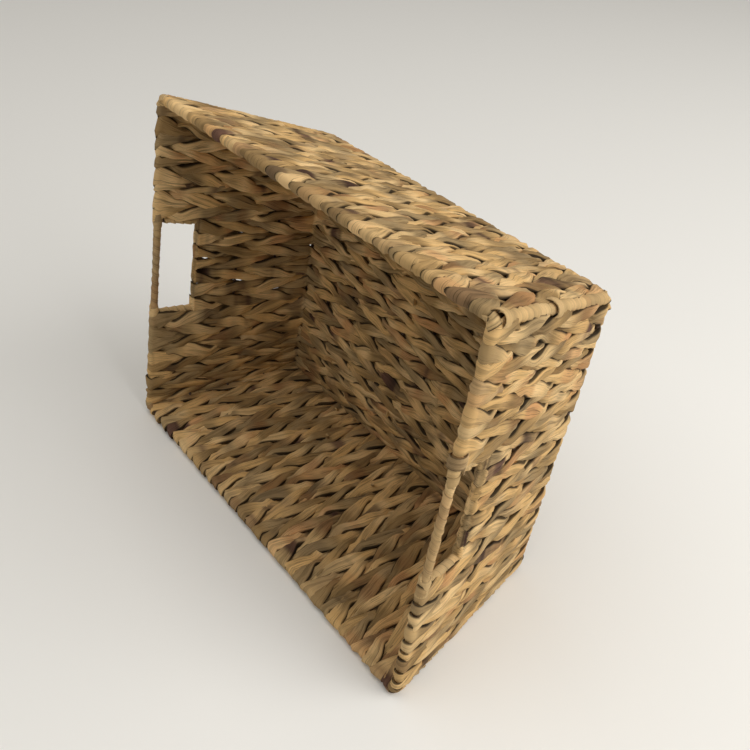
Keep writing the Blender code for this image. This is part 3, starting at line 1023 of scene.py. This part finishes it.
def wire_material():
    material = bpy.data.materials.new("dark_wire")
    material.use_nodes = True
    tree = material.node_tree
    patch = noise(tree, add_node(tree, "ShaderNodeTexCoord").outputs["Object"], **wire_noise)
    finish = {
        "Base Color": tinted(tree, patch, *wire_colours),
        "Roughness": ramped(tree, patch, *wire_roughness),
        "Metallic": wire_metal,
    }
    fill(tree, tree.nodes["Principled BSDF"], finish)
    return material


# Operators


class BASKET_OT_twine_long_walls(bpy.types.Operator):
    """Twine the rows of the two long walls"""

    bl_idname = "basket.twine_long_walls"
    bl_label = "Twine long walls"

    def execute(self, context):
        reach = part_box("weave_back")[1].x + corner_fill
        chance = np.random.default_rng(strand_settings().seed)
        for side, first_number in first_row_numbers.items():
            numbers = count(first_number)
            places = spread(-reach, reach, strand_settings().long_wall_rows, chance)
            lines = [looped_row(long_row(*place, side, next(numbers))) for place in places]
            name = f"{side}_wall_weave"
            grow(name, lines, strand_material(), [f"weave_{side}"], twined_sizes())
        return {"FINISHED"}


class BASKET_OT_twine_end_walls(bpy.types.Operator):
    """Twine the rows of the two end walls, beside and under the hand holes"""

    bl_idname = "basket.twine_end_walls"
    bl_label = "Twine end walls"

    def execute(self, context):
        for group, rows in end_row_groups().items():
            top = 1 if group == "under_hole" else 0
            for end in ends:
                lines = [end_wall_row(row, end, top) for row in rows]
                name = f"{end}_{group}_weave"
                grow(name, lines, strand_material(), [f"weave_{end}_{group}"], twined_sizes())
        return {"FINISHED"}


class BASKET_OT_twine_base(bpy.types.Operator):
    """Twine the rows of the base"""

    bl_idname = "basket.twine_base"
    bl_label = "Twine base"

    def execute(self, context):
        for group, rows in end_row_groups().items():
            lines = [line for row in rows for line in base_row(row)]
            name = f"base_{group}_weave"
            grow(name, lines, strand_material(), ["weave_base"], twined_sizes())
        return {"FINISHED"}


class BASKET_OT_wind_handles(bpy.types.Operator):
    """Wind the grips, lash their ends and wind the legs beside the hand holes"""

    bl_idname = "basket.wind_handles"
    bl_label = "Wind handles"

    def execute(self, context):
        for index, end in enumerate(ends):
            self.wind_grip(end, index)
            for side in sides:
                self.wind_leg(end, side)
                self.lash_grip(end, side)
        return {"FINISHED"}

    def wind_grip(self, end, index):
        strips = strip_settings()
        low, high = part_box(f"handle_grip_{end}")
        x = ends[end] * half_rim.x
        path = np.array([(x, low.y - grip_overrun, rim_z), (x, high.y + grip_overrun, rim_z)])
        radius = rim_rod + grip_strip_thickness / 2
        pitch = strips.grip_width * (1 - strips.overlap)
        line = winding(path, z_axis, radius, pitch, strip_number("grip", index), hand=-1, lean=grip_lean)
        sizes = strip_sizes(strips.grip_width, grip_strip_thickness, grip_cupping)
        grow(f"{end}_grip_strip", [line], strip_material(), [f"handle_grip_{end}"], sizes)

    def wind_leg(self, end, side):
        strips = strip_settings()
        width = strips.binding_width
        low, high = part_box(f"leg_wrap_{end}_{side}")
        at_rim = (low.y + high.y) / 2 / end_wall_taper(share_down((low.z + high.z) / 2))
        path = np.array([end_wall_point(end, at_rim, z) for z in (high.z, low.z - leg_overrun)])
        number = strip_number("leg", ends[end] * 2 + sides[side])
        radius = leg_radius - strips.thickness / 2
        line = winding(path, y_axis, radius, width * (1 - strips.overlap), number)
        name = f"{end}_{side}_leg_strip"
        grow(name, [line], strip_material(), [f"leg_wrap_{end}_{side}"], strip_sizes(width))

    def lash_grip(self, end, side):
        low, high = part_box(f"grip_lashing_{end}_{side}")
        x = ends[end] * half_rim.x
        inner_end, outer_end = sorted((low.y, high.y), key=abs)
        outer_end += sides[side] * strip_settings().lashing_reach
        path = np.array([(x, inner_end, rim_z), (x, outer_end, rim_z)])
        number = strip_number("lashing", ends[end] * 2 + sides[side])
        line = winding(path, z_axis, high.z - rim_z - lashing_inset, lashing_pitch, number)
        sizes = strip_sizes(lashing_width, thick_strip)
        replaced = [f"grip_lashing_{end}_{side}"]
        grow(f"{end}_{side}_grip_lashing", [line], strip_material(), replaced, sizes)


class BASKET_OT_bind_corners(bpy.types.Operator):
    """Wind the corner posts and wrap the corners of the rim and the base"""

    bl_idname = "basket.bind_corners"
    bl_label = "Bind corners"

    def execute(self, context):
        for index, (end, side) in enumerate((end, side) for end in ends for side in sides):
            self.wind_post(end, side, index)
            self.wrap_ring_corner("rim", half_rim, rim_z, end, side, index)
            self.wrap_ring_corner("base", half_base, base_z, end, side, index)
        return {"FINISHED"}

    def wind_post(self, end, side, index):
        strips = strip_settings()
        width = strips.binding_width
        low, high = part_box(f"corner_binding_{end}_{side}")
        path = []
        for z in (high.z, low.z):
            half = half_rim.lerp(half_base, share_down(z))
            path.append((ends[end] * (half.x - post_inset), sides[side] * (half.y - post_inset), z))
        outward = np.array((ends[end], sides[side], 0.0))
        pitch = width * (1 - strips.overlap)
        number = strip_number("post", index)
        line = winding(np.array(path), outward, post_strip_radius, pitch, number, lean=post_lean)
        name = f"{end}_{side}_post_strip"
        replaced = [f"corner_binding_{end}_{side}"]
        grow(name, [line], strip_material(), replaced, strip_sizes(width))

    def wrap_ring_corner(self, ring, half, z, end, side, index):
        low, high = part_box(f"{ring}_corner_wrap_{end}_{side}")
        inner_x = min(abs(low.x), abs(high.x)) + wrap_gap
        inner_y = min(abs(low.y), abs(high.y)) + wrap_gap
        path = corner_path(half, z, end, side, inner_x, inner_y)
        radius = (high.z - low.z) / 2 - wrap_inset
        line = winding(path, z_axis, radius, wrap_pitch, strip_number(ring, index), lean=wrap_lean)
        sizes = strip_sizes(wrap_width, thick_strip)
        replaced = [f"{ring}_corner_wrap_{end}_{side}"]
        grow(f"{end}_{side}_{ring}_wrap", [line], strand_material(), replaced, sizes)


class BASKET_OT_tuck_loose_ends(bpy.types.Operator):
    """Add the loose turns, the weathered strip, the broken stubs and the stray fibres"""

    bl_idname = "basket.tuck_loose_ends"
    bl_label = "Tuck loose ends"

    def execute(self, context):
        outward = np.array((-1.0, -1.0, 0.0))
        top = np.array((-half_rim.x, -half_rim.y, rim_z))
        foot = np.array((-half_base.x, -half_base.y, base_z))
        for name, share, run, radius, turns in loose_turns:
            path = np.array([mix(top, foot, share), mix(top, foot, share + run)])
            number = strip_number("loose", round(share * numbers_per_kind))
            line = winding(path, outward, radius, distances(path)[-1] / turns, number, start=-np.pi)
            grow(name, [line], strip_material(), [], strip_sizes(strip_settings().loose_width))
        sizes = strip_sizes(weathered_width)
        grow("left_hole_edge_strip", weathered_lines(), weathered_material(), [], sizes)
        stubs = [stub_line(index, *stub) for index, stub in enumerate(stub_places)]
        sizes = strip_sizes(stub_width, stub_thickness)
        grow("broken_stubs", stubs, strip_material(), [], sizes)
        fibres = [fibre_line(index, *fibre) for index, fibre in enumerate(fibre_places)]
        sizes = strip_sizes(fibre_width, fibre_thickness)
        grow("stray_fibres", fibres, strip_material(), [], sizes)
        return {"FINISHED"}


class BASKET_OT_finish_wires(bpy.types.Operator):
    """Give the frame's wires their dark painted finish"""

    bl_idname = "basket.finish_wires"
    bl_label = "Finish wires"

    def execute(self, context):
        material = wire_material()
        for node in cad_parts.values():
            if not node.hide_render:
                node.data.materials.clear()
                node.data.materials.append(material)
        return {"FINISHED"}


class BASKET_OT_set_stage(bpy.types.Operator):
    """Lay the floor, hang the lights and place the camera"""

    bl_idname = "basket.set_stage"
    bl_label = "Set stage"

    def execute(self, context):
        lay_floor()
        light_world()
        hang_lamps()
        place_camera()
        context.scene.view_settings.view_transform = "Standard"
        return {"FINISHED"}


# Stage

floor_reach = 4.0
floor_finish = {"Roughness": 0.9, "Specular IOR Level": 0.1}
fill_colour = (1.0, 0.92, 0.79, 1)
backdrop_colour = (0.74, 0.73, 0.69, 1)
lamp_colour = (1.0, 0.97, 0.93)

# The ways from the basket to its lamps, and how far the one overhead leans from straight above the floor
key_way = Vector((-0.75, -0.64, -0.27))
bounce_way = Vector((0.0, 0.42, 1.0))
ceiling_lean = Vector((0.14, 0.0, 0.18))


def floor_up():
    """The way up from the floor, which the back wall lies on."""
    return Vector((0, base_z - rim_z, half_rim.y - half_base.y)).normalized()


def lay_floor():
    """A pale floor that is clear from below."""
    up = floor_up()
    spot = Vector((0, half_rim.y, rim_z)) - up * stage_settings().floor_gap
    right = Vector((floor_reach, 0, 0))
    forward = up.cross(right)
    mesh = bpy.data.meshes.new("floor")
    corners = [spot + right * x + forward * y for x, y in ((-1, -1), (1, -1), (1, 1), (-1, 1))]
    mesh.from_pydata(corners, [], [(0, 1, 2, 3)])
    floor = bpy.data.objects.new("floor", mesh)
    bpy.context.scene.collection.objects.link(floor)
    material = bpy.data.materials.new("pale_floor")
    material.use_nodes = True
    tree = material.node_tree
    shader = tree.nodes["Principled BSDF"]
    fill(tree, shader, {"Base Color": (*colour_settings().floor, 1.0), **floor_finish})
    clear = add_node(tree, "ShaderNodeBsdfTransparent").outputs["BSDF"]
    behind = add_node(tree, "ShaderNodeNewGeometry").outputs["Backfacing"]
    blend = add_node(tree, "ShaderNodeMixShader", {0: behind, 1: shader.outputs["BSDF"], 2: clear})
    fill(tree, tree.nodes["Material Output"], {"Surface": blend.outputs[0]})
    mesh.materials.append(material)


def light_world():
    """Faint light from all round, behind which the camera sees a plain backdrop."""
    world = bpy.data.worlds.new("studio")
    bpy.context.scene.world = world
    world.use_nodes = True
    tree = world.node_tree
    glow = tree.nodes["Background"]
    fill(tree, glow, {"Color": fill_colour, "Strength": stage_settings().fill_strength})
    backdrop = add_node(tree, "ShaderNodeBackground", {"Color": backdrop_colour, "Strength": 1.0})
    seen = add_node(tree, "ShaderNodeLightPath").outputs["Is Camera Ray"]
    shaders = {0: seen, 1: glow.outputs["Background"], 2: backdrop.outputs["Background"]}
    blend = add_node(tree, "ShaderNodeMixShader", shaders)
    fill(tree, tree.nodes["World Output"], {"Surface": blend.outputs[0]})


def hang_lamps():
    stage = stage_settings()
    hang_lamp("key", key_way, distance=2.2, size=2.0, power=stage.key_power)
    hang_lamp("ceiling", floor_up() + ceiling_lean, distance=3.5, size=5.0, power=stage.ceiling_power)
    hang_lamp("bounce", bounce_way, distance=1.2, size=0.9, power=stage.bounce_power)


def hang_lamp(name, direction, distance, size, power):
    """A square lamp that faces the basket from the given direction."""
    light = bpy.data.lights.new(name, "AREA")
    light.shape = "SQUARE"
    light.size = size
    light.energy = power
    light.color = lamp_colour
    lamp = bpy.data.objects.new(name, light)
    bpy.context.scene.collection.objects.link(lamp)
    middle = Vector((0, 0, rim_z / 2))
    lamp.location = middle + direction.normalized() * distance
    lamp.rotation_euler = direction.to_track_quat("Z", "Y").to_euler()


def place_camera():
    data = bpy.data.cameras.new("photo_camera")
    data.sensor_width = 36.0
    data.lens = focal_pixels * data.sensor_width / image_pixels
    data.clip_start = 0.01
    camera = bpy.data.objects.new("photo_camera", data)
    axes = Matrix((camera_right, -camera_down, -camera_forward)).transposed().to_4x4()
    camera.matrix_world = Matrix.Translation(camera_place) @ axes
    bpy.context.scene.collection.objects.link(camera)
    bpy.context.scene.camera = camera


# Add-on

settings = {
    "basket_strands": StrandSettings,
    "basket_strips": StripSettings,
    "basket_colours": ColourSettings,
    "basket_stage": StageSettings,
}
operators = (
    BASKET_OT_twine_long_walls,
    BASKET_OT_twine_end_walls,
    BASKET_OT_twine_base,
    BASKET_OT_wind_handles,
    BASKET_OT_bind_corners,
    BASKET_OT_tuck_loose_ends,
    BASKET_OT_finish_wires,
    BASKET_OT_set_stage,
)


class BASKET_PT_sidebar(bpy.types.Panel):
    """The basket's sizes and colours, and the steps that make it"""

    bl_idname = "BASKET_PT_sidebar"
    bl_label = "Basket"
    bl_space_type = "VIEW_3D"
    bl_region_type = "UI"
    bl_category = "Basket"

    def draw(self, context):
        for name, group in settings.items():
            box = self.layout.box()
            for label in group.__annotations__:
                box.prop(getattr(context.scene, name), label)
        for operator in operators:
            self.layout.operator(operator.bl_idname)


classes = (*settings.values(), *operators, BASKET_PT_sidebar)


def register():
    for cls in classes:
        bpy.utils.register_class(cls)
    for name, group in settings.items():
        setattr(bpy.types.Scene, name, PointerProperty(type=group))


def unregister():
    for name in settings:
        delattr(bpy.types.Scene, name)
    for cls in reversed(classes):
        bpy.utils.unregister_class(cls)


def main():
    register()
    bpy.ops.basket.twine_long_walls()
    bpy.ops.basket.twine_end_walls()
    bpy.ops.basket.twine_base()
    bpy.ops.basket.wind_handles()
    bpy.ops.basket.bind_corners()
    bpy.ops.basket.tuck_loose_ends()
    bpy.ops.basket.finish_wires()
    bpy.ops.basket.set_stage()


if __name__ == "__main__":
    main()
